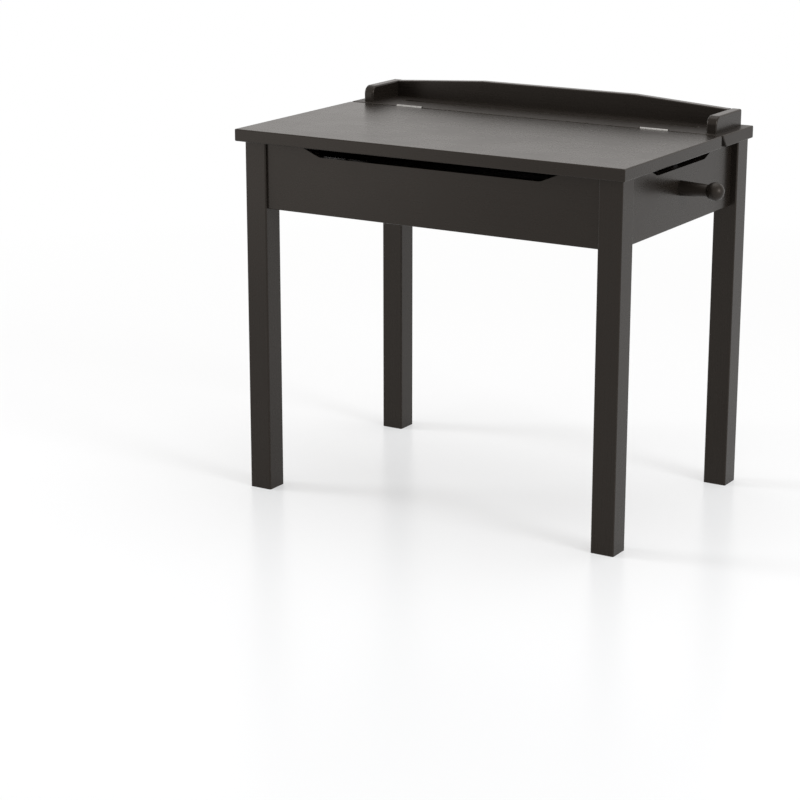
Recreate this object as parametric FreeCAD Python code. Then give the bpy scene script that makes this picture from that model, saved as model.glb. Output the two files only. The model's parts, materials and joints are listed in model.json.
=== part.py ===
import FreeCAD, Part
import math
import os

# A child's lift-top desk, built as separate pieces, in millimetres. The floor is z = 0 and the front
# faces -Y. The origin is the middle of the whole desk's box, on the floor. One hook stands out on the
# right, so the desk's own middle plane lies a little to the left of the origin.

Vector = FreeCAD.Vector
X_AXIS = Vector(1, 0, 0)
Y_AXIS = Vector(0, 1, 0)
Z_AXIS = Vector(0, 0, 1)
ORIGIN = Vector(0, 0, 0)
SIDES = (("left", -1), ("right", 1))

# Legs
LEG_SIDE = 40.0
LEG_SPREAD_X = 684.0
LEG_SPREAD_Y = 462.0
LEG_EDGE_RADIUS = 2.5

# Top: the lid in front, the fixed strip behind and the seam between them
TOP_HEIGHT = 611.0
TOP_THICKNESS = 20.0
TOP_OVERHANG_FRONT = 15.0
TOP_OVERHANG_SIDE = 10.0
TOP_SET_IN_REAR = 4.0
TOP_EDGE_RADIUS = 2.0
STRIP_DEPTH = 122.0
SEAM_GAP = 3.0
BEVEL_ANGLE = 41.0
BEVEL_NOSE_RADIUS = 1.0
GROOVE_RADIUS = 6.0
GROOVE_LENGTH = 566.0
GROOVE_FROM_REAR = 62.0

# Aprons and their finger notches
APRON_HEIGHT = 110.0
APRON_THICKNESS = 15.0
APRON_EDGE_RADIUS = 1.5
FRONT_APRON_RECESS = 5.0
SIDE_APRON_RECESS = 12.0
REAR_APRON_RECESS = 10.0
NOTCH_DEPTH = 16.5
NOTCH_END_RUN = 40.0
NOTCH_CORNER_RADIUS = 20.0
FRONT_NOTCH_LENGTH = 400.0
SIDE_NOTCH_LENGTH = 174.0

# Bottom panel of the storage compartment, held in grooves
PANEL_THICKNESS = 5.0
PANEL_ABOVE_APRON_EDGE = 10.0
PANEL_GROOVE_DEPTH = 5.0
PANEL_CLEARANCE = 0.3

# Gallery on the rear strip
GALLERY_END_THICKNESS = 18.0
GALLERY_END_DEPTH = 98.0
GALLERY_END_HEIGHT = 27.0
GALLERY_END_RADIUS = 14.0
GALLERY_SET_IN_SIDE = 18.0
GALLERY_SET_IN_REAR = 10.5
GALLERY_END_EDGE_RADIUS = 3.0
RAIL_THICKNESS = 15.0
RAIL_EDGE_RADIUS = 2.0
RAIL_RISE = 11.0
RAIL_FLAT_LENGTH = 292.0

# Turned peg on the right apron: a tapered stem and a ball
PEG_LENGTH = 73.0
PEG_BELOW_APRON_TOP = 49.5
PEG_ROOT_RADIUS = 12.2
PEG_NECK_RADIUS = 9.8
PEG_BALL_RADIUS = 14.75

# Butt hinges in the seam
HINGE_LENGTH = 50.0
HINGE_FROM_LID_END = 120.0
BARREL_SINK = 1.0
BARREL_CLEARANCE = 0.4
HINGE_PIN_RADIUS = 1.25
KNUCKLES = 5
KNUCKLE_GAP = 0.3
LEAF_THICKNESS = 1.5
LEAF_MARGIN = 2.0
LEAF_SCREWS = 3
LEAF_SCREW_FROM_END = 9.0
LEAF_SCREW_FROM_EDGE = 4.0

# Folding lid stays
STAY_LID_PIVOT_FORWARD = 80.0
STAY_WALL_PIVOT_FORWARD = 25.0
STAY_WALL_PIVOT_BELOW_LID = 39.0
STAY_THICKNESS = 2.0
STAY_GAP = 0.5
ARM_WIDTH = 12.0
BRACKET_LENGTH = 44.0
BRACKET_WIDTH = 16.0
BRACKET_SCREW_FROM_END = 7.0
FLANGE_WIDTH = 18.0
RIVET_RADIUS = 2.5
RIVET_HEAD_RADIUS = 4.5
RIVET_HEAD_THICKNESS = 1.2
RIVET_PLAY = 0.1
OPEN_PIVOT_CLEARANCE = 0.3

# Cam locks, their bolts and dowels
CAM_RADIUS = 7.5
CAM_DEPTH = 12.0
CAM_FROM_END = 24.0
BOLT_RADIUS = 3.0
BOLT_WAIST_RADIUS = 2.0
BOLT_HEAD_LENGTH = 3.0
BOLT_BITE = 11.0
BOLT_BORE_CLEARANCE = 0.6
DOWEL_RADIUS = 4.0
DOWEL_LENGTH = 30.0
DOWEL_CHAMFER = 1.0
DOWEL_SPACING = 62.0
DOWEL_COVER = 5.0
STRIP_CAM_SPACING = 200.0
STRIP_CAMS = 3
STRIP_SIDE_DOWEL_FROM_LEG = 31.0

# Screws: shank and head radii, and how deep each bites or how long it is
HINGE_SCREW_RADIUS = 1.5
HINGE_SCREW_HEAD_RADIUS = 2.75
HINGE_SCREW_LENGTH = 9.0
STAY_SCREW_RADIUS = 1.75
STAY_SCREW_HEAD_RADIUS = 3.4
STAY_SCREW_LENGTH = 12.0
FRAME_SCREW_RADIUS = 2.0
FRAME_SCREW_HEAD_RADIUS = 4.0
GALLERY_SCREW_BITE = 17.0
GALLERY_END_SCREW_FROM_END = 20.0
RAIL_SCREWS = 4
RAIL_SCREW_FROM_END = 75.0
PEG_SCREW_BITE = 28.0

# Shape of every screw's point and cross recess, as shares of its own radii
SCREW_POINT_SHARE = 2.0
RECESS_REACH_SHARE = 0.6
RECESS_WIDTH_SHARE = 0.22
RECESS_DEPTH_SHARE = 0.35

# Fits
SCREW_FIT = 0.05
PIVOT_FIT = 0.05
HOLE_END_ROOM = 0.5
OVERCUT = 1.0

# Places worked out from the sizes; a distance across is counted from the desk's middle plane
HALF_SPREAD = LEG_SPREAD_X / 2
TOP_HALF_WIDTH = HALF_SPREAD + TOP_OVERHANG_SIDE
APRON_OUTER = HALF_SPREAD - SIDE_APRON_RECESS
APRON_INNER = APRON_OUTER - APRON_THICKNESS
MIDDLE_X = -(APRON_OUTER + PEG_LENGTH - TOP_HALF_WIDTH) / 2
FRONT_Y = -(TOP_OVERHANG_FRONT + LEG_SPREAD_Y) / 2
LEG_FRONT_Y = FRONT_Y + TOP_OVERHANG_FRONT
LEG_REAR_Y = LEG_FRONT_Y + LEG_SPREAD_Y
MIDDLE_Y = (LEG_FRONT_Y + LEG_REAR_Y) / 2
TOP_REAR_Y = LEG_REAR_Y - TOP_SET_IN_REAR
STRIP_FRONT_Y = TOP_REAR_Y - STRIP_DEPTH
LID_REAR_Y = STRIP_FRONT_Y - SEAM_GAP
UNDERSIDE_Z = TOP_HEIGHT - TOP_THICKNESS
APRON_BOTTOM_Z = UNDERSIDE_Z - APRON_HEIGHT
PANEL_Z = APRON_BOTTOM_Z + PANEL_ABOVE_APRON_EDGE
BEVEL_RUN = TOP_THICKNESS * math.tan(math.radians(BEVEL_ANGLE))
GALLERY_REAR_Y = TOP_REAR_Y - GALLERY_SET_IN_REAR
GALLERY_OUTER = TOP_HALF_WIDTH - GALLERY_SET_IN_SIDE
GALLERY_INNER = GALLERY_OUTER - GALLERY_END_THICKNESS
PEG_Z = UNDERSIDE_Z - PEG_BELOW_APRON_TOP
HINGE_FROM_MIDDLE = TOP_HALF_WIDTH - HINGE_FROM_LID_END
HINGE_AXIS_Y = STRIP_FRONT_Y - SEAM_GAP / 2
BARREL_RADIUS = SEAM_GAP / 2 + BARREL_SINK
LEAF_WIDTH = TOP_THICKNESS - LEAF_MARGIN
LID_LEAF_FACE = SEAM_GAP / 2
STRIP_LEAF_FACE = SEAM_GAP / 2 * math.cos(math.radians(BEVEL_ANGLE))
WALL_BRACKET_FACE = APRON_INNER - STAY_THICKNESS
LOWER_ARM_OUTER = WALL_BRACKET_FACE - STAY_GAP
UPPER_ARM_OUTER = LOWER_ARM_OUTER - STAY_THICKNESS - STAY_GAP
LID_TAB_OUTER = UPPER_ARM_OUTER - STAY_THICKNESS - STAY_GAP
LID_TAB_INNER = LID_TAB_OUTER - STAY_THICKNESS


# Basic solids
def across(side, distance):
    return MIDDLE_X + side * distance


def block(x_pair, y_pair, z_pair):
    low = Vector(min(x_pair), min(y_pair), min(z_pair))
    high = Vector(max(x_pair), max(y_pair), max(z_pair))
    size = high - low
    return Part.makeBox(size.x, size.y, size.z, low)


def block_between(corner, opposite):
    return block((corner.x, opposite.x), (corner.y, opposite.y), (corner.z, opposite.z))


def rod(radius, start, end):
    direction = end - start
    return Part.makeCylinder(radius, direction.Length, start, direction)


def prism(points, travel):
    return Part.Face(Part.makePolygon(list(points) + [points[0]])).extrude(travel)


def turned(edges, axis):
    return Part.Face(Part.Wire(edges)).revolve(ORIGIN, axis, 360)


def aimed(shape, point, direction):
    shape.Placement = FreeCAD.Placement(point, FreeCAD.Rotation(Z_AXIS, direction))
    return shape


def joined(shapes):
    return shapes[0].fuse(shapes[1:]).removeSplitter()


def rounded(shape, radius, is_rounded):
    """Round the edges whose middle point passes the test."""
    chosen = []
    for edge in shape.Edges:
        middle = edge.valueAt((edge.FirstParameter + edge.LastParameter) / 2)
        if is_rounded(middle):
            chosen.append(edge)
    return shape.makeFillet(radius, chosen)


def near(value, target):
    return abs(value - target) < 1e-6


def is_either(value, pair):
    return near(value, pair[0]) or near(value, pair[1])


# Countersunk wood screws
class Screw:
    """A countersunk screw, and the hole it sits in, at the point and in the direction given."""

    def __init__(self, shank_radius, head_radius, length):
        self.shank_radius = shank_radius
        self.head_radius = head_radius
        self.head_depth = head_radius - shank_radius
        self.length = length

    def turned_body(self, fit, end_room):
        shank = self.shank_radius + fit
        head = self.head_radius + fit
        end = self.length + end_room
        point_start = end - SCREW_POINT_SHARE * self.shank_radius
        profile = [
            Vector(0, 0, 0),
            Vector(head, 0, 0),
            Vector(shank, 0, self.head_depth),
            Vector(shank, 0, point_start),
            Vector(0, 0, end),
        ]
        return turned(Part.makePolygon(profile + [profile[0]]).Edges, Z_AXIS)

    def solid(self, point, direction):
        reach = RECESS_REACH_SHARE * self.head_radius
        half_width = RECESS_WIDTH_SHARE * self.head_radius / 2
        depth = (0, RECESS_DEPTH_SHARE * self.head_radius)
        slot = block((-reach, reach), (-half_width, half_width), depth)
        cross_slot = block((-half_width, half_width), (-reach, reach), depth)
        return aimed(self.turned_body(0, 0).cut([slot, cross_slot]), point, direction)

    def hole(self, point, direction):
        mouth = rod(self.head_radius + SCREW_FIT, Z_AXIS * -OVERCUT, ORIGIN)
        return aimed(joined([self.turned_body(SCREW_FIT, HOLE_END_ROOM), mouth]), point, direction)


HINGE_SCREW = Screw(HINGE_SCREW_RADIUS, HINGE_SCREW_HEAD_RADIUS, HINGE_SCREW_LENGTH)
STAY_SCREW = Screw(STAY_SCREW_RADIUS, STAY_SCREW_HEAD_RADIUS, STAY_SCREW_LENGTH)
GALLERY_SCREW = Screw(FRAME_SCREW_RADIUS, FRAME_SCREW_HEAD_RADIUS, TOP_THICKNESS + GALLERY_SCREW_BITE)
PEG_SCREW = Screw(FRAME_SCREW_RADIUS, FRAME_SCREW_HEAD_RADIUS, APRON_THICKNESS + PEG_SCREW_BITE)


# Finished pieces, and the holes and seats still to be cut in each
pieces = {}
cuts = {}


def cut_later(name, tool):
    cuts.setdefault(name, []).append(tool)


def add_to_group(name, solid):
    pieces.setdefault(name, []).append(solid)


def finish(name, shape):
    """Cut what was marked out on a piece and keep it."""
    tools = cuts.get(name, [])
    pieces[name] = [shape.cut(tools) if tools else shape]


def drive(screw, group, point, direction, held):
    """Put a screw in its group and cut its hole in each piece that it holds."""
    add_to_group(group, screw.solid(point, direction))
    for name in held:
        cut_later(name, screw.hole(point, direction))


# Aprons and the joinery at their ends
class Apron:
    """One apron board: the middle of its length, the way it runs and the way its inner face looks."""

    def __init__(self, middle, along, inward, half_length):
        self.middle = middle
        self.along = along
        self.inward = inward
        self.half_length = half_length

    def point(self, run, depth, z):
        """A point by its run along the board, its depth inward of mid-thickness and its height."""
        return self.middle + self.along * run + self.inward * depth + Z_AXIS * z


LONG_HALF = HALF_SPREAD - LEG_SIDE
SHORT_HALF = LEG_SPREAD_Y / 2 - LEG_SIDE
FRONT_MIDDLE_Y = LEG_FRONT_Y + FRONT_APRON_RECESS + APRON_THICKNESS / 2
REAR_MIDDLE_Y = LEG_REAR_Y - REAR_APRON_RECESS - APRON_THICKNESS / 2
SIDE_MIDDLE = APRON_OUTER - APRON_THICKNESS / 2
APRONS = {
    "front": Apron(Vector(MIDDLE_X, FRONT_MIDDLE_Y, 0), X_AXIS, Y_AXIS, LONG_HALF),
    "rear": Apron(Vector(MIDDLE_X, REAR_MIDDLE_Y, 0), X_AXIS, Y_AXIS * -1, LONG_HALF),
    "left": Apron(Vector(across(-1, SIDE_MIDDLE), MIDDLE_Y, 0), Y_AXIS, X_AXIS, SHORT_HALF),
    "right": Apron(Vector(across(1, SIDE_MIDDLE), MIDDLE_Y, 0), Y_AXIS, X_AXIS * -1, SHORT_HALF),
}


def cam_joint(holder, keeper, seat, outward, inward):
    """Lock two boards with a cam in the holder's inner face and a bolt screwed into the keeper."""
    centre = seat - outward * CAM_FROM_END
    face = centre + inward * (APRON_THICKNESS / 2)
    bottom = face - inward * CAM_DEPTH
    bolt_end = centre - outward * BOLT_HEAD_LENGTH
    bolt_tip = seat + outward * BOLT_BITE
    bore = rod(BOLT_RADIUS + BOLT_BORE_CLEARANCE, bolt_end - outward * HOLE_END_ROOM, seat)
    hole_end = bolt_tip + outward * HOLE_END_ROOM
    cut_later(holder, rod(CAM_RADIUS + SCREW_FIT, bottom, face + inward * OVERCUT))
    cut_later(holder, bore)
    cut_later(keeper, rod(BOLT_RADIUS + SCREW_FIT, seat - outward * OVERCUT, hole_end))
    head = rod(BOLT_RADIUS, bolt_end, centre)
    waist = rod(BOLT_WAIST_RADIUS, centre, centre + outward * CAM_RADIUS)
    shank = rod(BOLT_RADIUS, centre + outward * CAM_RADIUS, bolt_tip)
    add_to_group("cam_bolts", joined([head, waist, shank]))
    cam = rod(CAM_RADIUS, bottom, face)
    half_recess = Vector(1, 1, 1) * BOLT_WAIST_RADIUS
    recess = block_between(face - half_recess, face + half_recess)
    add_to_group("cam_locks", cam.cut([bore, recess]))


def dowel_joint(holder, keeper, seat, outward, bite):
    """Join two boards with a dowel that goes into the keeper as far as its bite."""
    tip = seat + outward * bite
    tail = tip - outward * DOWEL_LENGTH
    hole = rod(DOWEL_RADIUS + SCREW_FIT, tail - outward * HOLE_END_ROOM, tip + outward * HOLE_END_ROOM)
    cut_later(holder, hole)
    cut_later(keeper, hole)
    dowel = rod(DOWEL_RADIUS, tail, tip)
    ends = [edge for edge in dowel.Edges if edge.Closed]
    add_to_group("dowels", dowel.makeChamfer(DOWEL_CHAMFER, ends))


def leg_at(apron_name, end):
    if apron_name in ("front", "rear"):
        return "leg_%s_%s" % (apron_name, "right" if end > 0 else "left")
    return "leg_%s_%s" % ("rear" if end > 0 else "front", apron_name)


def mark_apron_joints():
    middle_z = APRON_BOTTOM_Z + APRON_HEIGHT / 2
    for name, apron in APRONS.items():
        for end in (-1, 1):
            outward = apron.along * end
            board = name + "_apron"
            leg = leg_at(name, end)
            cam_joint(board, leg, apron.point(end * apron.half_length, 0, middle_z), outward, apron.inward)
            for step in (-0.5, 0.5):
                seat = apron.point(end * apron.half_length, 0, middle_z + step * DOWEL_SPACING)
                dowel_joint(board, leg, seat, outward, DOWEL_LENGTH / 2)


def mark_strip_joints():
    rear = APRONS["rear"]
    bite = TOP_THICKNESS - DOWEL_COVER
    for number in range(STRIP_CAMS):
        run = (number - (STRIP_CAMS - 1) / 2) * STRIP_CAM_SPACING
        cam_joint("rear_apron", "rear_top_strip", rear.point(run, 0, UNDERSIDE_Z), Z_AXIS, rear.inward)
        if number:
            between = rear.point(run - STRIP_CAM_SPACING / 2, 0, UNDERSIDE_Z)
            dowel_joint("rear_apron", "rear_top_strip", between, Z_AXIS, bite)
    for name, side in SIDES:
        seat = APRONS[name].point(SHORT_HALF - STRIP_SIDE_DOWEL_FROM_LEG, 0, UNDERSIDE_Z)
        dowel_joint(name + "_apron", "rear_top_strip", seat, Z_AXIS, bite)


def on_face(apron, point):
    """True for a point on a board's outer or inner face."""
    depth = (point - apron.middle).dot(apron.inward)
    return near(abs(depth), APRON_THICKNESS / 2)


def make_apron(name, notch_length):
    apron = APRONS[name]
    half = apron.half_length
    outline = [(-half, UNDERSIDE_Z), (-half, APRON_BOTTOM_Z), (half, APRON_BOTTOM_Z), (half, UNDERSIDE_Z)]
    if notch_length:
        notch_half = notch_length / 2
        outline.append((notch_half + NOTCH_END_RUN, UNDERSIDE_Z))
        outline.append((notch_half, UNDERSIDE_Z - NOTCH_DEPTH))
        outline.append((-notch_half, UNDERSIDE_Z - NOTCH_DEPTH))
        outline.append((-notch_half - NOTCH_END_RUN, UNDERSIDE_Z))
    outer_face = [apron.point(run, -APRON_THICKNESS / 2, z) for run, z in outline]
    board = prism(outer_face, apron.inward * APRON_THICKNESS)
    board = rounded(board, APRON_EDGE_RADIUS, lambda p: near(p.z, APRON_BOTTOM_Z) and on_face(apron, p))
    if notch_length:
        notch_z = UNDERSIDE_Z - NOTCH_DEPTH
        board = rounded(board, NOTCH_CORNER_RADIUS, lambda p: near(p.z, notch_z) and not on_face(apron, p))
    groove_bottom = apron.point(-half, APRON_THICKNESS / 2 - PANEL_GROOVE_DEPTH, PANEL_Z)
    groove_top = PANEL_Z + PANEL_THICKNESS + PANEL_CLEARANCE
    groove = block_between(groove_bottom, apron.point(half, APRON_THICKNESS / 2 + OVERCUT, groove_top))
    finish(name + "_apron", board.cut(groove))


def make_aprons():
    make_apron("front", FRONT_NOTCH_LENGTH)
    make_apron("rear", 0)
    for name, side in SIDES:
        make_apron(name, SIDE_NOTCH_LENGTH)


def make_legs():
    for row, front_y in (("front", LEG_FRONT_Y), ("rear", LEG_REAR_Y - LEG_SIDE)):
        for name, side in SIDES:
            x_pair = (across(side, HALF_SPREAD - LEG_SIDE), across(side, HALF_SPREAD))
            leg = block(x_pair, (front_y, front_y + LEG_SIDE), (0, UNDERSIDE_Z))
            uprights = [edge for edge in leg.Edges if near(edge.BoundBox.ZLength, UNDERSIDE_Z)]
            finish("leg_%s_%s" % (row, name), leg.makeFillet(LEG_EDGE_RADIUS, uprights))


def make_bottom_panel():
    """Thin panel in the apron grooves, with its corners cut out round the legs."""
    reach = PANEL_GROOVE_DEPTH - PANEL_CLEARANCE
    half_x = APRON_INNER + reach
    front_y = FRONT_MIDDLE_Y + APRON_THICKNESS / 2 - reach
    rear_y = REAR_MIDDLE_Y - APRON_THICKNESS / 2 + reach
    z_pair = (PANEL_Z, PANEL_Z + PANEL_THICKNESS)
    panel = block((across(-1, half_x), across(1, half_x)), (front_y, rear_y), z_pair)
    for name, side in SIDES:
        x_pair = (across(side, LONG_HALF - PANEL_CLEARANCE), across(side, half_x + OVERCUT))
        for end in (-1, 1):
            y_pair = (MIDDLE_Y + end * (SHORT_HALF - PANEL_CLEARANCE), MIDDLE_Y + end * LEG_SPREAD_Y / 2)
            cut_later("bottom_panel", block(x_pair, y_pair, z_pair))
    finish("bottom_panel", panel)


# Top boards
def make_lid():
    x_pair = (across(-1, TOP_HALF_WIDTH), across(1, TOP_HALF_WIDTH))
    lid = block(x_pair, (FRONT_Y, LID_REAR_Y), (UNDERSIDE_Z, TOP_HEIGHT))
    finish("lid", lid.makeFillet(TOP_EDGE_RADIUS, lid.Edges))


def make_rear_strip():
    """Fixed strip with a front edge bevelled underneath and a round-bottomed pencil groove."""
    left = across(-1, TOP_HALF_WIDTH)
    section = [
        Vector(left, STRIP_FRONT_Y, TOP_HEIGHT),
        Vector(left, STRIP_FRONT_Y + BEVEL_RUN, UNDERSIDE_Z),
        Vector(left, TOP_REAR_Y, UNDERSIDE_Z),
        Vector(left, TOP_REAR_Y, TOP_HEIGHT),
    ]
    strip = prism(section, X_AXIS * 2 * TOP_HALF_WIDTH)
    strip = rounded(strip, BEVEL_NOSE_RADIUS, lambda p: near(p.y, STRIP_FRONT_Y))
    bevel_end = STRIP_FRONT_Y + BEVEL_RUN + TOP_EDGE_RADIUS
    strip = rounded(strip, TOP_EDGE_RADIUS, lambda p: p.y > bevel_end)
    groove_y = TOP_REAR_Y - GROOVE_FROM_REAR
    run = GROOVE_LENGTH / 2 - GROOVE_RADIUS
    starts = [Vector(across(side, run), groove_y, TOP_HEIGHT) for name, side in SIDES]
    cut_later("rear_top_strip", rod(GROOVE_RADIUS, starts[0], starts[1]))
    for start in starts:
        cut_later("rear_top_strip", Part.makeSphere(GROOVE_RADIUS, start))
    finish("rear_top_strip", strip)


# Gallery
def mark_gallery_screws():
    rail_y = GALLERY_REAR_Y - RAIL_THICKNESS / 2
    span = 2 * (GALLERY_INNER - RAIL_SCREW_FROM_END)
    for number in range(RAIL_SCREWS):
        run = (number / (RAIL_SCREWS - 1) - 0.5) * span
        point = Vector(MIDDLE_X + run, rail_y, UNDERSIDE_Z)
        drive(GALLERY_SCREW, "gallery_screws", point, Z_AXIS, ["rear_top_strip", "gallery_rail"])
    for name, side in SIDES:
        x = across(side, (GALLERY_INNER + GALLERY_OUTER) / 2)
        first = GALLERY_REAR_Y - GALLERY_END_DEPTH + GALLERY_END_SCREW_FROM_END
        for y in (first, GALLERY_REAR_Y - GALLERY_END_SCREW_FROM_END):
            point = Vector(x, y, UNDERSIDE_Z)
            drive(GALLERY_SCREW, "gallery_screws", point, Z_AXIS, ["rear_top_strip", "gallery_end_" + name])


def make_gallery_rail():
    """Back rail whose top edge slopes up from each end to a flat middle."""
    front_y = GALLERY_REAR_Y - RAIL_THICKNESS
    end_z = TOP_HEIGHT + GALLERY_END_HEIGHT
    half = [(GALLERY_INNER, TOP_HEIGHT), (GALLERY_INNER, end_z), (RAIL_FLAT_LENGTH / 2, end_z + RAIL_RISE)]
    right_half = [Vector(across(1, run), front_y, z) for run, z in half]
    left_half = [Vector(across(-1, run), front_y, z) for run, z in reversed(half)]
    rail = prism(right_half + left_half, Y_AXIS * RAIL_THICKNESS)
    faces_y = (front_y, GALLERY_REAR_Y)
    rail = rounded(rail, RAIL_EDGE_RADIUS, lambda p: p.z > end_z and is_either(p.y, faces_y))
    finish("gallery_rail", rail)


def make_gallery_end(name, side):
    """End block with a large round at its top front corner and small rounds along its front and top rims."""
    x_pair = (across(side, GALLERY_INNER), across(side, GALLERY_OUTER))
    front_y = GALLERY_REAR_Y - GALLERY_END_DEPTH
    top_z = TOP_HEIGHT + GALLERY_END_HEIGHT
    end = block(x_pair, (front_y, GALLERY_REAR_Y), (TOP_HEIGHT, top_z))
    end = rounded(end, GALLERY_END_RADIUS, lambda p: near(p.y, front_y) and near(p.z, top_z))
    end = rounded(end, GALLERY_END_EDGE_RADIUS, lambda p: is_end_rim(p, x_pair))
    finish("gallery_end_" + name, end)


def is_end_rim(point, x_pair):
    """True on an end block's front, round and top edges, but not on its foot or its back."""
    on_foot_or_back = near(point.z, TOP_HEIGHT) or near(point.y, GALLERY_REAR_Y)
    return is_either(point.x, x_pair) and not on_foot_or_back


# Peg hook
def make_peg():
    root = Vector(across(1, APRON_OUTER), MIDDLE_Y, PEG_Z)
    inner_face = root - X_AXIS * APRON_THICKNESS
    drive(PEG_SCREW, "peg_screw", inner_face, X_AXIS, ["right_apron", "side_peg"])
    ball_centre = PEG_LENGTH - PEG_BALL_RADIUS
    neck_run = ball_centre - math.sqrt(PEG_BALL_RADIUS ** 2 - PEG_NECK_RADIUS ** 2)
    tip = Vector(PEG_LENGTH, 0, 0)
    stem = [tip, ORIGIN, Vector(0, 0, PEG_ROOT_RADIUS), Vector(neck_run, 0, PEG_NECK_RADIUS)]
    ball = Part.Arc(stem[-1], Vector(ball_centre, 0, PEG_BALL_RADIUS), tip).toShape()
    peg = turned(Part.makePolygon(stem).Edges + [ball], X_AXIS)
    peg.translate(root)
    finish("side_peg", peg)


# Butt hinges: a leaf is drawn about its axis, with its plate below it and its wood on the side of y_sign
def leaf_block(y_sign, x_pair, y_pair, drop_pair):
    return block(x_pair, [y_sign * y for y in y_pair], [-drop for drop in drop_pair])


def knuckle_spans(first):
    pitch = HINGE_LENGTH / KNUCKLES
    for number in range(first, KNUCKLES, 2):
        start = number * pitch - HINGE_LENGTH / 2
        yield start + KNUCKLE_GAP / 2, start + pitch - KNUCKLE_GAP / 2


def make_leaf(y_sign, face, first_knuckle):
    plate_y = (face, face + LEAF_THICKNESS)
    plate_top = BARREL_RADIUS + BARREL_CLEARANCE
    shapes = [leaf_block(y_sign, (-HINGE_LENGTH / 2, HINGE_LENGTH / 2), plate_y, (plate_top, LEAF_WIDTH))]
    for span in knuckle_spans(first_knuckle):
        shapes.append(leaf_block(y_sign, span, plate_y, (0, plate_top)))
        shapes.append(rod(BARREL_RADIUS, X_AXIS * span[0], X_AXIS * span[1]))
    bore = rod(HINGE_PIN_RADIUS + PIVOT_FIT, X_AXIS * -HINGE_LENGTH, X_AXIS * HINGE_LENGTH)
    return joined(shapes).cut(bore)


def leaf_seat(y_sign, face):
    """What is cut out of the wood for a leaf and for the barrel."""
    half = HINGE_LENGTH / 2 + BARREL_CLEARANCE
    drop = LEAF_WIDTH + BARREL_CLEARANCE
    plate = leaf_block(y_sign, (-half, half), (0, face + LEAF_THICKNESS), (0, drop))
    barrel = rod(BARREL_RADIUS + BARREL_CLEARANCE, X_AXIS * -half, X_AXIS * half)
    return joined([plate, barrel])


def set_on_hinge(shape, centre, tilt):
    shape.rotate(ORIGIN, X_AXIS, tilt)
    shape.translate(centre)
    return shape


def make_hinge_half(board, side_name, side, y_sign, face, first_knuckle, tilt):
    centre = Vector(across(side, HINGE_FROM_MIDDLE), HINGE_AXIS_Y, TOP_HEIGHT)
    node = "%s_hinge_leaf_%s" % (board, side_name)
    wood = "lid" if board == "lid" else "rear_top_strip"
    turn = FreeCAD.Rotation(X_AXIS, tilt)
    cut_later(wood, set_on_hinge(leaf_seat(y_sign, face), centre, tilt))
    spread = HINGE_LENGTH / 2 - LEAF_SCREW_FROM_END
    for number in range(LEAF_SCREWS):
        run = (2 * number / (LEAF_SCREWS - 1) - 1) * spread
        seat = Vector(run, y_sign * face, LEAF_SCREW_FROM_EDGE - LEAF_WIDTH)
        direction = turn.multVec(Y_AXIS * y_sign)
        drive(HINGE_SCREW, board + "_hinge_screws", centre + turn.multVec(seat), direction, [node, wood])
    finish(node, set_on_hinge(make_leaf(y_sign, face, first_knuckle), centre, tilt))


def make_hinges():
    for name, side in SIDES:
        make_hinge_half("lid", name, side, -1, LID_LEAF_FACE, 1, 0)
        make_hinge_half("strip", name, side, 1, STRIP_LEAF_FACE, 0, BEVEL_ANGLE)
        centre = Vector(across(side, HINGE_FROM_MIDDLE), HINGE_AXIS_Y, TOP_HEIGHT)
        half = X_AXIS * (HINGE_LENGTH / 2)
        finish("hinge_pin_" + name, rod(HINGE_PIN_RADIUS, centre - half, centre + half))


# Folding stays: the two arms and the lines from the hinge axis to their pivots make a parallelogram
LID_PIVOT_Y = HINGE_AXIS_Y - STAY_LID_PIVOT_FORWARD
LID_PIVOT_Z = UNDERSIDE_Z - BRACKET_WIDTH / 2
WALL_PIVOT_Y = HINGE_AXIS_Y - STAY_WALL_PIVOT_FORWARD
WALL_PIVOT_Z = UNDERSIDE_Z - STAY_WALL_PIVOT_BELOW_LID
KNEE_Y = LID_PIVOT_Y - STAY_WALL_PIVOT_FORWARD
KNEE_Z = LID_PIVOT_Z - (TOP_HEIGHT - WALL_PIVOT_Z)


def flat_bar(side, outer, width, start, end):
    """Flat bar with round ends between two points (y, z), with its outer face at a distance across."""
    x = across(side, outer)
    travel = X_AXIS * (-side * STAY_THICKNESS)
    first = Vector(x, start[0], start[1])
    last = Vector(x, end[0], end[1])
    sideways = (last - first).cross(X_AXIS).normalize() * (width / 2)
    bar = prism([first + sideways, last + sideways, last - sideways, first - sideways], travel)
    return joined([bar, rod(width / 2, first, first + travel), rod(width / 2, last, last + travel)])


def pivot_hole(side, y, z, clearance):
    start = Vector(across(side, LID_TAB_INNER - OVERCUT), y, z)
    end = Vector(across(side, APRON_INNER + OVERCUT), y, z)
    return rod(RIVET_RADIUS + clearance, start, end)


def rivet(side, y, z, shank_ends, heads):
    """Rivet with a shank between two distances across, and heads that start at given distances."""
    spans = [(RIVET_RADIUS, shank_ends)] + [(RIVET_HEAD_RADIUS, ends) for ends in heads]
    shapes = []
    for radius, ends in spans:
        start, end = [Vector(across(side, distance), y, z) for distance in ends]
        shapes.append(rod(radius, start, end))
    return joined(shapes)


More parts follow.
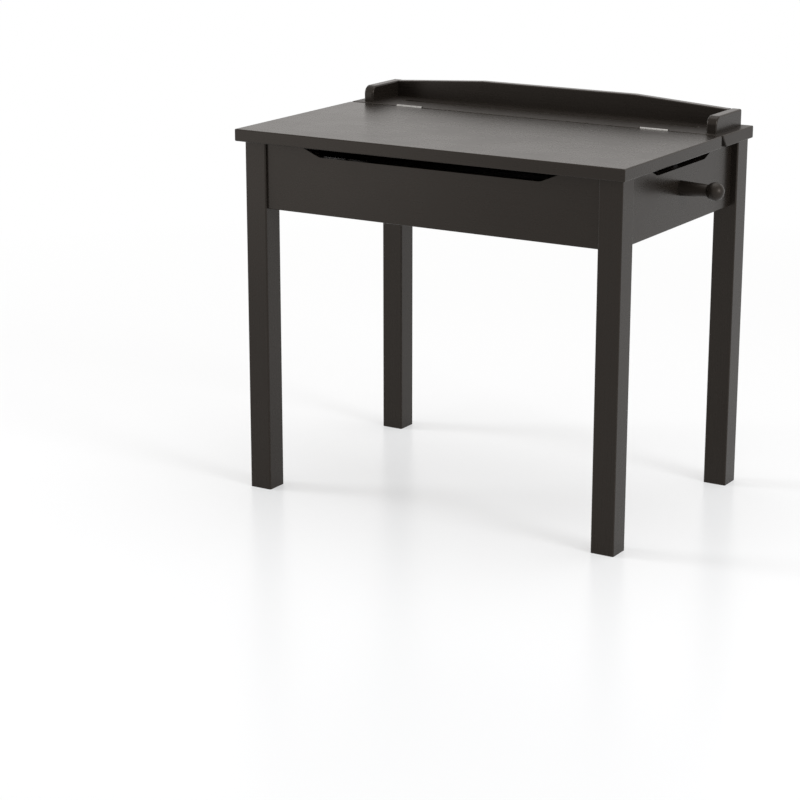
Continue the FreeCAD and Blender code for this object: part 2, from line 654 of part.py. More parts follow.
def make_wall_bracket(name, side):
    half = BRACKET_LENGTH / 2
    run = half - BRACKET_WIDTH / 2
    ends = [(WALL_PIVOT_Y + step * run, WALL_PIVOT_Z) for step in (-1, 1)]
    node = "stay_wall_bracket_" + name
    for step in (-1, 1):
        y = WALL_PIVOT_Y + step * (half - BRACKET_SCREW_FROM_END)
        point = Vector(across(side, WALL_BRACKET_FACE), y, WALL_PIVOT_Z)
        drive(STAY_SCREW, "stay_wall_screws", point, X_AXIS * side, [node, name + "_apron"])
    cut_later(node, pivot_hole(side, WALL_PIVOT_Y, WALL_PIVOT_Z, SCREW_FIT))
    finish(node, flat_bar(side, APRON_INNER, BRACKET_WIDTH, ends[0], ends[1]))
    head_start = LOWER_ARM_OUTER - STAY_THICKNESS - RIVET_PLAY
    head = (head_start, head_start - RIVET_HEAD_THICKNESS)
    finish("stay_wall_rivet_" + name, rivet(side, WALL_PIVOT_Y, WALL_PIVOT_Z, (APRON_INNER, head[1]), [head]))


def make_lid_bracket(name, side):
    """Angle bracket under the lid: a flange with two screws and a round-ended tab that carries the pivot."""
    node = "stay_lid_bracket_" + name
    flange_inner = LID_TAB_OUTER - FLANGE_WIDTH
    flange = block(
        (across(side, flange_inner), across(side, LID_TAB_OUTER)),
        (LID_PIVOT_Y - BRACKET_LENGTH / 2, LID_PIVOT_Y + BRACKET_LENGTH / 2),
        (UNDERSIDE_Z - STAY_THICKNESS, UNDERSIDE_Z),
    )
    tab = block(
        (across(side, LID_TAB_INNER), across(side, LID_TAB_OUTER)),
        (LID_PIVOT_Y - BRACKET_WIDTH / 2, LID_PIVOT_Y + BRACKET_WIDTH / 2),
        (LID_PIVOT_Z, UNDERSIDE_Z),
    )
    tab_start = Vector(across(side, LID_TAB_INNER), LID_PIVOT_Y, LID_PIVOT_Z)
    tab_end = tab_start + X_AXIS * (side * STAY_THICKNESS)
    for step in (-1, 1):
        y = LID_PIVOT_Y + step * (BRACKET_LENGTH / 2 - BRACKET_SCREW_FROM_END)
        x = across(side, (flange_inner + LID_TAB_INNER) / 2)
        point = Vector(x, y, UNDERSIDE_Z - STAY_THICKNESS)
        drive(STAY_SCREW, "stay_lid_screws", point, Z_AXIS, [node, "lid"])
    cut_later(node, pivot_hole(side, LID_PIVOT_Y, LID_PIVOT_Z, SCREW_FIT))
    finish(node, joined([flange, tab, rod(BRACKET_WIDTH / 2, tab_start, tab_end)]))
    inner_head = (LID_TAB_INNER, LID_TAB_INNER - RIVET_HEAD_THICKNESS)
    outer_start = UPPER_ARM_OUTER + RIVET_PLAY
    outer_head = (outer_start, outer_start + RIVET_HEAD_THICKNESS)
    shank = (inner_head[1], outer_head[1])
    finish("stay_lid_rivet_" + name, rivet(side, LID_PIVOT_Y, LID_PIVOT_Z, shank, [inner_head, outer_head]))


def make_arms(name, side):
    lower = "stay_lower_arm_" + name
    upper = "stay_upper_arm_" + name
    knee = (KNEE_Y, KNEE_Z)
    wall = (WALL_PIVOT_Y, WALL_PIVOT_Z)
    lid = (LID_PIVOT_Y, LID_PIVOT_Z)
    cut_later(lower, pivot_hole(side, wall[0], wall[1], PIVOT_FIT))
    cut_later(lower, pivot_hole(side, knee[0], knee[1], SCREW_FIT))
    cut_later(upper, pivot_hole(side, lid[0], lid[1], PIVOT_FIT))
    cut_later(upper, pivot_hole(side, knee[0], knee[1], OPEN_PIVOT_CLEARANCE))
    finish(lower, flat_bar(side, LOWER_ARM_OUTER, ARM_WIDTH, wall, knee))
    finish(upper, flat_bar(side, UPPER_ARM_OUTER, ARM_WIDTH, lid, knee))
    outer_head = (LOWER_ARM_OUTER, LOWER_ARM_OUTER + RIVET_HEAD_THICKNESS)
    inner_start = UPPER_ARM_OUTER - STAY_THICKNESS - RIVET_PLAY
    inner_head = (inner_start, inner_start - RIVET_HEAD_THICKNESS)
    shank = (inner_head[1], outer_head[1])
    finish("stay_knee_rivet_" + name, rivet(side, knee[0], knee[1], shank, [outer_head, inner_head]))


def make_stays():
    for name, side in SIDES:
        make_wall_bracket(name, side)
        make_lid_bracket(name, side)
        make_arms(name, side)


def build():
    mark_apron_joints()
    mark_strip_joints()
    mark_gallery_screws()
    make_hinges()
    make_stays()
    make_peg()
    make_legs()
    make_aprons()
    make_bottom_panel()
    make_lid()
    make_rear_strip()
    make_gallery_rail()
    for name, side in SIDES:
        make_gallery_end(name, side)


def export():
    os.makedirs("parts", exist_ok=True)
    for name, solids in sorted(pieces.items()):
        shape = solids[0] if len(solids) == 1 else Part.makeCompound(solids)
        shape.exportStep("parts/%s.step" % name)


build()
export()
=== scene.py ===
import json
import math
from typing import NamedTuple

import bmesh
import bpy
from bpy.props import FloatProperty, FloatVectorProperty, IntProperty, PointerProperty
from mathutils import Euler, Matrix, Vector


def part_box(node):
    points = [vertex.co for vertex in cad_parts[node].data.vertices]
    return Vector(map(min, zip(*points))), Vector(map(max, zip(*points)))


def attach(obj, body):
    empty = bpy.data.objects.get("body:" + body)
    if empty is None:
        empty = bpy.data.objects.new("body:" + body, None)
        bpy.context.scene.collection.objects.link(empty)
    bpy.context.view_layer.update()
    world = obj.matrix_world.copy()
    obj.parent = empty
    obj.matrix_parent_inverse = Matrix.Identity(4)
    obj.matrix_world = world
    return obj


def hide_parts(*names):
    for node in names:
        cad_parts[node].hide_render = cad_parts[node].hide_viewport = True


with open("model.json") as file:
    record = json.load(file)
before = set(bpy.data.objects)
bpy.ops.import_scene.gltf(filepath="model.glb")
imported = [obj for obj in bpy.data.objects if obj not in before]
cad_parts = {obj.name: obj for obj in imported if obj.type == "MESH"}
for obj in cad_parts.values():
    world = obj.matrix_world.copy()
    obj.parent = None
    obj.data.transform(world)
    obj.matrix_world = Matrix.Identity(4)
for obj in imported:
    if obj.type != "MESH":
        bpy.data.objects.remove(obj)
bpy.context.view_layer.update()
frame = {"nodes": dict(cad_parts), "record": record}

bl_info = {
    "name": "Lift-top desk dresser",
    "version": (1, 0, 0),
    "blender": (4, 5, 0),
    "location": "3D View > Sidebar > Desk",
    "description": "Gives the packed desk its paint, its plated hardware and a plain studio",
    "category": "Object",
}

# Joining a solid's loose triangles, and telling a rounded edge from a sharp one
MERGE_DISTANCE = 1e-6
ROUND_ANGLE = math.radians(38)
NORMAL_WEIGHT = 100

# Sprayed paint: waves in a metre, and how much each pattern shows in the colour, the gloss and the relief
GRAIN_ACROSS = 210.0
GRAIN_ALONG = 5.0
CLOUD_WAVES = 7.0
SMUDGE_WAVES = 16.0
PEEL_WAVES = 620.0
CHAFE_WAVES = 75.0
CHAFE_GAIN = 1.7
CHAFE_CUT = 0.35
RUB_SHARE = 0.7
RUB_SHINE = 0.04
THIN_GRAIN = 0.55
THIN_CLOUD = 0.75
THIN_CUT = 0.2
SMUDGE_GLOSS = 0.07
GRAIN_GLOSS = 0.04
PEEL_RELIEF = 0.7
GRAIN_RELIEF = 0.25

# Hardboard panel
PANEL_ROUGHNESS = 0.62
PANEL_DEPTH = 0.00008
PANEL_PALER = 2.0
PANEL_PEBBLE_WAVES = 420.0
PANEL_CLOUD_WAVES = 5.0
PANEL_CLOUD_SHARE = 0.4
PANEL_CLOUD_GLOSS = 0.14
FIBRE_WAVES = (60.0, 240.0, 240.0)
FIBRE_SHARE = 0.6
FIBRE_RELIEF = 0.5

# Plated steel: each plating's roughness and brush lines, and the patterns that all of them have
NICKEL_ROUGHNESS = 0.24
NICKEL_BRUSH = (30.0, 900.0, 900.0)
SCREW_ROUGHNESS = 0.32
SCREW_BRUSH = (500.0, 500.0, 500.0)
CAM_ROUGHNESS = 0.42
CAM_BRUSH = (400.0, 400.0, 400.0)
PLATE_DEPTH = 0.00001
DULL_WAVES = 95.0
DULL_GLOSS = 0.22
SPECK_WAVES = 1500.0
SPECK_RELIEF = 0.3
BRUSH_SHARE = 0.25
BRUSH_GLOSS = 0.12
BRUSH_RELIEF = 0.7
STAIN_TONE = 0.62
STAIN_GAIN = 1.6
STAIN_CUT = 0.55
STAIN_SHARE = 0.55

# Black coat of the stays
COAT_ROUGHNESS = 0.4
COAT_DEPTH = 0.00002
COAT_PEBBLE_WAVES = 1400.0
COAT_DULL_WAVES = 110.0
COAT_DULL_SHARE = 0.2
COAT_DULL_GLOSS = 0.2
SCUFF_WAVES = (900.0, 120.0, 500.0)
SCUFF_GAIN = 2.0
SCUFF_CUT = 1.25
SCUFF_SHARE = 0.6
SCUFF_SHINE = 0.08
SCUFF_PALER = 3.0

# Bare beech of the dowels
BEECH_ROUGHNESS = 0.55
BEECH_DEPTH = 0.00003
BEECH_WAVES = (300.0, 300.0, 300.0)
BEECH_SHARE = 0.7
BEECH_GLOSS = 0.2
FLECK_WAVES = 900.0
FLECK_REACH = 0.35
FLECK_TONE = 0.6

# Fineness of the small turned parts
SCREW_SIDES = 20
RINGS_PER_PITCH = 4
RIVET_SIDES = 32
DOME_STEPS = 6
SIDES_PER_FLUTE = 4

# Shares of a screw's head radius: run and radius of its rim, and run, reach and half width of its recess
SCREW_RIM = ((0.0, 0.94), (0.03, 0.99), (0.10, 0.93))
RECESS_MOUTH = (-0.1, 0.62, 0.115)
RECESS_FLOOR = (0.42, 0.36, 0.08)

# A screw's thread and tip: shares of its shank's radius, of its countersink and of its length
THREAD_DEPTH = 0.28
THREAD_FLANK = 1.6
THREAD_START = 1.2
TIP_RADIUS = 0.18
TIP_START = 0.985
POINT_END = 0.99

# Shares of a dowel's radius
FLUTE_DEPTH = 0.06
DOWEL_CHAMFER = 0.25

# Studio
WHITE = (1.0, 1.0, 1.0, 1.0)
FLOOR_SIDES = 96
FLOOR_GLOSS = 0.40
FLOOR_ROUGHNESS = 0.24
FLOOR_CLOUD_WAVES = 0.6
FLOOR_CLOUD_TONE = 1.015
FLOOR_CLOUD_GLOSS = 0.04
SENSOR_WIDTH = 36.0

# Which solids take which finish
SIDES = ("left", "right")
APRONS = ("front_apron", "rear_apron", "left_apron", "right_apron")
LEGS = tuple("leg_%s_%s" % (row, side) for row in ("front", "rear") for side in SIDES)
TOPS = ("lid", "rear_top_strip")
GALLERY = ("gallery_rail", "gallery_end_left", "gallery_end_right")
HINGE_PARTS = tuple(
    part + side for part in ("lid_hinge_leaf_", "strip_hinge_leaf_", "hinge_pin_") for side in SIDES
)
STAY_PARTS = tuple(
    "stay_" + part + side
    for part in ("wall_bracket_", "lid_bracket_", "lower_arm_", "upper_arm_")
    for side in SIDES
)
RIVETS = {"stay_wall_rivet_": 1, "stay_lid_rivet_": 2, "stay_knee_rivet_": 2}
BRIGHT_SCREWS = ("gallery_screws", "peg_screw", "lid_hinge_screws", "strip_hinge_screws")
BLACK_SCREWS = ("stay_lid_screws", "stay_wall_screws")
BODY_OF = {node: body for body, nodes in frame["record"]["behaviour"]["bodies"].items() for node in nodes}


class Lamp(NamedTuple):
    """A round soft lamp: where it hangs, what it faces, how wide it is and its power."""

    name: str
    place: tuple
    target: tuple
    width: float
    power: float


LAMPS = (
    Lamp("front_softbox", (-1.3, -1.7, 0.45), (-0.3, -0.2, 0.35), 0.9, 1.9),
    Lamp("top_softbox", (0.2, 0.4, 3.4), (0.0, 0.0, 0.3), 2.6, 30.0),
    Lamp("left_softbox", (-5.9, -2.1, 2.4), (0.0, 0.0, 0.2), 2.3, 190.0),
    Lamp("right_softbox", (4.7, -0.95, 2.0), (0.0, 0.0, 0.2), 2.0, 120.0),
)


# Sizes and colours that a user may change
class PaintSettings(bpy.types.PropertyGroup):
    """Satin paint on the wood, and the matt panel."""

    colour: FloatVectorProperty(
        name="Paint", description="Satin paint where it lies thick", subtype="COLOR", min=0, max=1,
        default=(0.0088, 0.0070, 0.0056),
    )
    pale_colour: FloatVectorProperty(
        name="Pale paint", description="Paint where the grain carries it thin", subtype="COLOR", min=0, max=1,
        default=(0.0118, 0.0096, 0.0078),
    )
    edge_colour: FloatVectorProperty(
        name="Rubbed edge", description="Paint along edges that hands and cloths rub", subtype="COLOR",
        min=0, max=1, default=(0.020, 0.0165, 0.0138),
    )
    panel_colour: FloatVectorProperty(
        name="Panel", description="Matt paint on the bottom panel", subtype="COLOR", min=0, max=1,
        default=(0.0165, 0.0138, 0.0115),
    )
    roughness: FloatProperty(
        name="Roughness", description="Roughness of clean paint", subtype="FACTOR", min=0, max=1,
        default=0.275,
    )
    strip_roughness: FloatProperty(
        name="Strip roughness", description="Roughness of the rear strip, dulled by use",
        subtype="FACTOR", min=0, max=1, default=0.42,
    )
    gloss_index: FloatProperty(
        name="Gloss", description="Refractive index of the paint's surface", min=1, default=1.33,
    )
    gloss_tint: FloatVectorProperty(
        name="Gloss tint", description="Warm tint of the paint's gloss", subtype="COLOR", min=0, max=1,
        default=(1.0, 0.90, 0.82),
    )
    edge_width: FloatProperty(
        name="Edge width", description="How far a rubbed edge reaches in", unit="LENGTH", min=0,
        default=0.0026,
    )
    peel_depth: FloatProperty(
        name="Spray texture", description="Height of the spray paint's fine dimples", unit="LENGTH", min=0,
        default=0.000018,
    )


class PegSettings(bpy.types.PropertyGroup):
    """Turned peg on the right side."""

    root_radius: FloatProperty(
        name="Root radius", description="Radius where the peg meets the side", unit="LENGTH", min=0,
        default=0.0122,
    )
    neck_radius: FloatProperty(
        name="Neck radius", description="Radius where the stem meets the ball", unit="LENGTH", min=0,
        default=0.0098,
    )
    stem_share: FloatProperty(
        name="Stem rings", description="Share of the turning's rings on the stem", subtype="FACTOR",
        min=0.1, max=0.9, default=0.35,
    )
    roughness: FloatProperty(
        name="Roughness", description="Roughness of the peg, dulled by use", subtype="FACTOR", min=0, max=1,
        default=0.40,
    )
    rings: IntProperty(name="Rings", description="Rings along the turning", min=8, default=96)
    sides: IntProperty(name="Sides", description="Sides of each ring", min=8, default=72)


class HardwareSettings(bpy.types.PropertyGroup):
    """Plated steel, screws, rivets and dowels."""

    zinc_colour: FloatVectorProperty(
        name="Zinc", description="Zinc plating", subtype="COLOR", min=0, max=1, default=(0.50, 0.51, 0.53),
    )
    nickel_colour: FloatVectorProperty(
        name="Nickel", description="Bright nickel plating", subtype="COLOR", min=0, max=1,
        default=(0.40, 0.395, 0.385),
    )
    coat_colour: FloatVectorProperty(
        name="Black coat", description="Black coating on the lid stays", subtype="COLOR", min=0, max=1,
        default=(0.013, 0.013, 0.014),
    )
    beech_colour: FloatVectorProperty(
        name="Beech", description="Bare wood of the dowels", subtype="COLOR", min=0, max=1,
        default=(0.55, 0.36, 0.20),
    )
    thread_pitch: FloatProperty(
        name="Thread pitch", description="Rise of a screw's thread in one turn", unit="LENGTH", min=0.0002,
        default=0.0014,
    )
    rivet_head: FloatProperty(
        name="Rivet head", description="Height of a rivet's domed head", unit="LENGTH", min=0, default=0.0012,
    )
    flutes: IntProperty(name="Flutes", description="Flutes round a dowel", min=3, default=18)
    seed: IntProperty(name="Seed", description="How the fasteners are turned about their own axes", default=7)


class StageSettings(bpy.types.PropertyGroup):
    """Floor, lamps and camera."""

    floor_colour: FloatVectorProperty(
        name="Floor", description="Pale studio floor", subtype="COLOR", min=0, max=1,
        default=(0.90, 0.92, 0.94),
    )
    floor_lift: FloatProperty(
        name="Floor lift", description="Share of plain white in the floor that is looked at",
        subtype="FACTOR", min=0, max=1, default=0.42,
    )
    shade_start: FloatProperty(
        name="Shade start", description="Distance at which the floor's shade begins to fade",
        unit="LENGTH", min=0, default=0.8,
    )
    shade_end: FloatProperty(
        name="Shade end", description="Distance past which the floor is plain white", unit="LENGTH", min=0.1,
        default=2.4,
    )
    floor_radius: FloatProperty(
        name="Floor radius", description="Reach of the floor", unit="LENGTH", min=1, default=60.0,
    )
    world_colour: FloatVectorProperty(
        name="Room colour", description="Faintly warm white of the room", subtype="COLOR", min=0, max=1,
        default=(1.0, 0.97, 0.945),
    )
    world_light: FloatProperty(
        name="Room light", description="Strength of the white room's light", min=0, default=0.60,
    )
    camera_place: FloatVectorProperty(
        name="Camera", description="Where the camera stands", subtype="TRANSLATION", unit="LENGTH",
        default=(1.8243, -3.3037, 1.2222),
    )
    camera_yaw: FloatProperty(
        name="Yaw", description="Turn to the right from looking along +Y", subtype="ANGLE",
        default=math.radians(-31.605),
    )
    camera_pitch: FloatProperty(
        name="Pitch", description="Tilt below the horizon", subtype="ANGLE", default=math.radians(15.846),
    )
    camera_lens: FloatProperty(
        name="Lens", description="Focal length on a 36 mm sensor", subtype="DISTANCE_CAMERA", min=1,
        default=105.09,
    )


# Node trees
class Wire:
    """One output of a node, which takes plain arithmetic."""

    def __init__(self, tree, node, output=0):
        self.tree = tree
        self.made = node
        self.socket = node.outputs[output] if node.outputs else None

    def output(self, name):
        return Wire(self.tree, self.made, name)

    def math(self, operation, first, second=0.0):
        return self.tree.node("ShaderNodeMath", {"operation": operation}, {0: first, 1: second})

    def __add__(self, other):
        return self.math("ADD", self, other)

    __radd__ = __add__

    def __sub__(self, other):
        return self.math("SUBTRACT", self, other)

    def __rsub__(self, other):
        return self.math("SUBTRACT", other, self)

    def __mul__(self, other):
        return self.math("MULTIPLY", self, other)

    __rmul__ = __mul__

    def __truediv__(self, other):
        return self.math("DIVIDE", self, other)

    def __rtruediv__(self, other):
        return self.math("DIVIDE", other, self)

    def __abs__(self):
        return self.math("ABSOLUTE", self)

    def __gt__(self, other):
        return self.math("GREATER_THAN", self, other)

    def least(self, other):
        return self.math("MINIMUM", self, other)

    def most(self, other):
        return self.math("MAXIMUM", self, other)

    def clamped(self):
        return self.least(1.0).most(0.0)

    def sine(self):
        return self.math("SINE", self)

    def cosine(self):
        return self.math("COSINE", self)


class Tree:
    """A shader or geometry node tree, filled by one method."""

    def __init__(self, node_tree):
        self.data = node_tree

    def node(self, kind, settings=None, values=None):
        made = self.data.nodes.new(kind)
        for name, setting in (settings or {}).items():
            setattr(made, name, setting)
        for key, value in (values or {}).items():
            if isinstance(value, Wire):
                self.data.links.new(value.socket, made.inputs[key])
            else:
                made.inputs[key].default_value = value
        return Wire(self, made)

    def noise(self, place, scale, detail=2.0, roughness=0.5):
        values = {"Vector": place, "Scale": scale, "Detail": detail, "Roughness": roughness}
        return self.node("ShaderNodeTexNoise", {}, values)

    def mixed(self, share, first, second):
        """A colour between two."""
        made = self.node("ShaderNodeMix", {"data_type": "RGBA"}, {0: share, 6: first, 7: second})
        return Wire(self, made.made, 2)

    def stretched(self, place, factors):
        return self.node("ShaderNodeVectorMath", {"operation": "MULTIPLY"}, {0: place, 1: factors})

    def bumped(self, height, depth):
        return self.node("ShaderNodeBump", {}, {"Strength": 1.0, "Distance": depth, "Height": height})


def opaque(colour):
    return (*colour, 1.0)


def new_material(name):
    """A material with one Principled shader: its tree, the shader and the place on the piece."""
    material = bpy.data.materials.new(name)
    material.use_nodes = True
    tree = Tree(material.node_tree)
    shader = material.node_tree.nodes["Principled BSDF"]
    place = tree.node("ShaderNodeTexCoord").output("Object")
    return material, tree, shader, place


def feed(tree, shader, **wires):
    """Link wires to the shader's sockets, whose names are written with underscores."""
    for name, wire in wires.items():
        tree.data.links.new(wire.socket, shader.inputs[name.replace("_", " ")])


# Materials
def edge_gap(tree, place, low, high):
    """Distance from the nearest edge of a box: the second smallest of the distances from its faces."""
    parts = tree.node("ShaderNodeSeparateXYZ", {}, {0: place})
    gaps = []
    for axis in range(3):
        middle = (low[axis] + high[axis]) / 2
        half = (high[axis] - low[axis]) / 2
        gaps.append(half - abs(Wire(tree, parts.made, axis) - middle))
    first, second, third = gaps
    return first.least(second).most(first.most(second).least(third))


def painted_wood(paint, name, low, high, gloss_roughness):
    """Satin near-black paint, sprayed over a grain that runs along the piece, with softly rubbed edges."""
    material, tree, shader, place = new_material("painted_wood_" + name)
    shader.inputs["IOR"].default_value = paint.gloss_index
    shader.inputs["Specular Tint"].default_value = opaque(paint.gloss_tint)
    size = high - low
    along = max(range(3), key=lambda axis: size[axis])
    grain_waves = [GRAIN_ACROSS, GRAIN_ACROSS, GRAIN_ACROSS]
    grain_waves[along] = GRAIN_ALONG
    grain = tree.noise(tree.stretched(place, grain_waves), 1.0, detail=3.0, roughness=0.6)
    cloud = tree.noise(place, CLOUD_WAVES, detail=3.0)
    smudge = tree.noise(place, SMUDGE_WAVES, detail=4.0, roughness=0.62)
    peel = tree.noise(place, PEEL_WAVES, detail=2.0, roughness=0.45)
    chafe = tree.noise(place, CHAFE_WAVES, detail=4.0, roughness=0.65)
    near_edge = (1.0 - edge_gap(tree, place, low, high) / paint.edge_width).clamped()
    rubbed = (near_edge * (chafe * CHAFE_GAIN - CHAFE_CUT)).clamped()
    thin = (grain * THIN_GRAIN + cloud * THIN_CLOUD - THIN_CUT).clamped()
    colour = tree.mixed(thin, opaque(paint.colour), opaque(paint.pale_colour))
    colour = tree.mixed(rubbed * RUB_SHARE, colour, opaque(paint.edge_colour))
    roughness = gloss_roughness + (smudge - 0.5) * SMUDGE_GLOSS + (grain - 0.5) * GRAIN_GLOSS
    roughness = roughness - rubbed * RUB_SHINE
    relief = tree.bumped(peel * PEEL_RELIEF + grain * GRAIN_RELIEF, paint.peel_depth)
    feed(tree, shader, Base_Color=colour, Roughness=roughness, Normal=relief)
    return material


def panel_board(paint):
    """Matt painted hardboard with a pebbled face."""
    material, tree, shader, place = new_material("panel_board")
    spots = {"Vector": place, "Scale": PANEL_PEBBLE_WAVES}
    pebble = tree.node("ShaderNodeTexVoronoi", {"feature": "SMOOTH_F1"}, spots)
    fibre = tree.noise(tree.stretched(place, FIBRE_WAVES), 1.0, detail=4.0, roughness=0.6)
    cloud = tree.noise(place, PANEL_CLOUD_WAVES, detail=3.0)
    pale = [PANEL_PALER * part for part in paint.panel_colour]
    share = (fibre * FIBRE_SHARE + cloud * PANEL_CLOUD_SHARE).clamped()
    colour = tree.mixed(share, opaque(paint.panel_colour), opaque(pale))
    roughness = PANEL_ROUGHNESS + (cloud - 0.5) * PANEL_CLOUD_GLOSS
    relief = tree.bumped(pebble + fibre * FIBRE_RELIEF, PANEL_DEPTH)
    feed(tree, shader, Base_Color=colour, Roughness=roughness, Normal=relief)
    return material


def plated_steel(name, colour, roughness, brushed):
    """Plated steel with faint brush lines and dull patches; brushed gives the lines' stretch on each axis."""
    material, tree, shader, place = new_material(name)
    shader.inputs["Metallic"].default_value = 1.0
    lines = tree.noise(tree.stretched(place, brushed), 1.0, detail=3.0, roughness=0.6)
    dull = tree.noise(place, DULL_WAVES, detail=4.0, roughness=0.6)
    speck = tree.noise(place, SPECK_WAVES, detail=2.0)
    dark = [STAIN_TONE * part for part in colour]
    stain = (dull * STAIN_GAIN - STAIN_CUT).clamped() * STAIN_SHARE + lines * BRUSH_SHARE
    tone = tree.mixed(stain.clamped(), opaque(colour), opaque(dark))
    rough = roughness + (dull - 0.5) * DULL_GLOSS + (lines - 0.5) * BRUSH_GLOSS
    relief = tree.bumped(lines * BRUSH_RELIEF + speck * SPECK_RELIEF, PLATE_DEPTH)
    feed(tree, shader, Base_Color=tone, Roughness=rough.clamped(), Normal=relief)
    return material


def coated_steel(name, colour):
    """Steel with a baked black coat: a fine pebble, dull patches and paler scuffs."""
    material, tree, shader, place = new_material(name)
    pebble = tree.noise(place, COAT_PEBBLE_WAVES, detail=2.0, roughness=0.5)
    dull = tree.noise(place, COAT_DULL_WAVES, detail=4.0, roughness=0.6)
    streak = tree.noise(tree.stretched(place, SCUFF_WAVES), 1.0, detail=3.0, roughness=0.6)
    scuff = (streak * SCUFF_GAIN - SCUFF_CUT).clamped()
    pale = [SCUFF_PALER * part for part in colour]
    tone = tree.mixed(scuff * SCUFF_SHARE + dull * COAT_DULL_SHARE, opaque(colour), opaque(pale))
    rough = COAT_ROUGHNESS + (dull - 0.5) * COAT_DULL_GLOSS - scuff * SCUFF_SHINE
    feed(tree, shader, Base_Color=tone, Roughness=rough, Normal=tree.bumped(pebble, COAT_DEPTH))
    return material


def beech(colour):
    """Bare beech with its short dark flecks."""
    material, tree, shader, place = new_material("dowel_beech")
    grain = tree.noise(tree.stretched(place, BEECH_WAVES), 1.0, detail=4.0, roughness=0.6)
    fleck = tree.node("ShaderNodeTexVoronoi", {"feature": "F1"}, {"Vector": place, "Scale": FLECK_WAVES})
    dark = [FLECK_TONE * part for part in colour]
    share = (grain * BEECH_SHARE + (FLECK_REACH - fleck.output("Distance")).clamped()).clamped()
    tone = tree.mixed(share, opaque(colour), opaque(dark))
    rough = BEECH_ROUGHNESS + grain * BEECH_GLOSS
    feed(tree, shader, Base_Color=tone, Roughness=rough, Normal=tree.bumped(grain, BEECH_DEPTH))
    return material


# Pieces
def new_piece(name, mesh):
    piece = bpy.data.objects.new(name, mesh)
    bpy.context.scene.collection.objects.link(piece)
    return piece


def settle(piece, material, *nodes):
    """Give a finished piece its material, and let it stand for its solids."""
    piece.data.materials.clear()
    piece.data.materials.append(material)
    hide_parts(*nodes)
    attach(piece, BODY_OF[nodes[0]])


def plain_mesh(piece):
    """Swap a piece's mesh for the one that its modifiers make, and drop the modifiers."""
    depsgraph = bpy.context.evaluated_depsgraph_get()
    made = bpy.data.meshes.new_from_object(piece.evaluated_get(depsgraph), depsgraph=depsgraph)
    made.name = piece.name
    piece.modifiers.clear()
    piece.data = made


def joined_solid(node):
    """The merged shell of a CAD node, as a bmesh."""
    source = frame["nodes"][node].data
    shell = bmesh.new()
    corners = [shell.verts.new(vertex.co) for vertex in source.vertices]
    for polygon in source.polygons:
        shell.faces.new([corners[index] for index in polygon.vertices])
    bmesh.ops.remove_doubles(shell, verts=shell.verts, dist=MERGE_DISTANCE)
    return shell


def smooth_copy(node, name):
    """A copy of a solid whose flat faces stay flat and whose rounded edges are shaded round."""
    shell = joined_solid(node)
    mesh = bpy.data.meshes.new(name)
    shell.to_mesh(mesh)
    shell.free()
    mesh.shade_smooth()
    mesh.set_sharp_from_angle(angle=ROUND_ANGLE)
    piece = new_piece(name, mesh)
    weigh = piece.modifiers.new("flat faces lead", "WEIGHTED_NORMAL")
    weigh.weight = NORMAL_WEIGHT
    weigh.keep_sharp = True
    plain_mesh(piece)
    return piece


def islands(node):
    """The vertices of each separate solid in a node."""
    shell = joined_solid(node)
    left = set(shell.verts)
    groups = []
    for start in shell.verts:
        if start not in left:
            continue
        left.remove(start)
        group, border = [], [start]
        while border:
            vertex = border.pop()
            group.append(vertex.co.copy())
            for edge in vertex.link_edges:
                other = edge.other_vert(vertex)
                if other in left:
                    left.remove(other)
                    border.append(other)
        groups.append(group)
    shell.free()
    return groups


def lathe(name, profile, sides, swell=None):
    """A mesh turned about Z from (run, radius) pairs that start and end on the axis.

    swell gives what is added to the radius at a run and an angle.
    """
    shell = bmesh.new()
    rows = []
    for run, radius in profile:
        if radius == 0:
            rows.append([shell.verts.new((0, 0, run))])
            continue
        row = []
        for number in range(sides):
            angle = 2 * math.pi * number / sides
            reach = radius + (swell(run, angle) if swell else 0)
            row.append(shell.verts.new((reach * math.cos(angle), reach * math.sin(angle), run)))
        rows.append(row)
    for row, following in zip(rows, rows[1:]):
        for number in range(sides):
            after = (number + 1) % sides
            near = [row[number % len(row)], row[after % len(row)]]
            far = [following[after % len(following)], following[number % len(following)]]
            shell.faces.new(list(dict.fromkeys(near + far)))
    bmesh.ops.recalc_face_normals(shell, faces=shell.faces)
    mesh = bpy.data.meshes.new(name)
    shell.to_mesh(mesh)
    shell.free()
    return mesh


# Geometry node trees
def new_group(name, inputs):
    """A geometry tree with named inputs, and its input node's wires by name."""
    group = bpy.data.node_groups.new(name, "GeometryNodeTree")
    group.interface.new_socket("Geometry", in_out="OUTPUT", socket_type="NodeSocketGeometry")
    for label, kind in inputs.items():
        group.interface.new_socket(label, in_out="INPUT", socket_type="NodeSocket" + kind)
    tree = Tree(group)
    entry = tree.node("NodeGroupInput")
    return group, tree, {label: entry.output(label) for label in inputs}


def run_group(piece, group, values):
    """Run a tree on a piece with values for its inputs, and keep the plain mesh."""
    modifier = piece.modifiers.new(group.name, "NODES")
    modifier.node_group = group
    for item in group.interface.items_tree:
        if item.in_out == "INPUT" and item.name in values:
            modifier[item.identifier] = values[item.name]
    plain_mesh(piece)
    piece.data.shade_smooth()
    piece.data.set_sharp_from_angle(angle=ROUND_ANGLE)


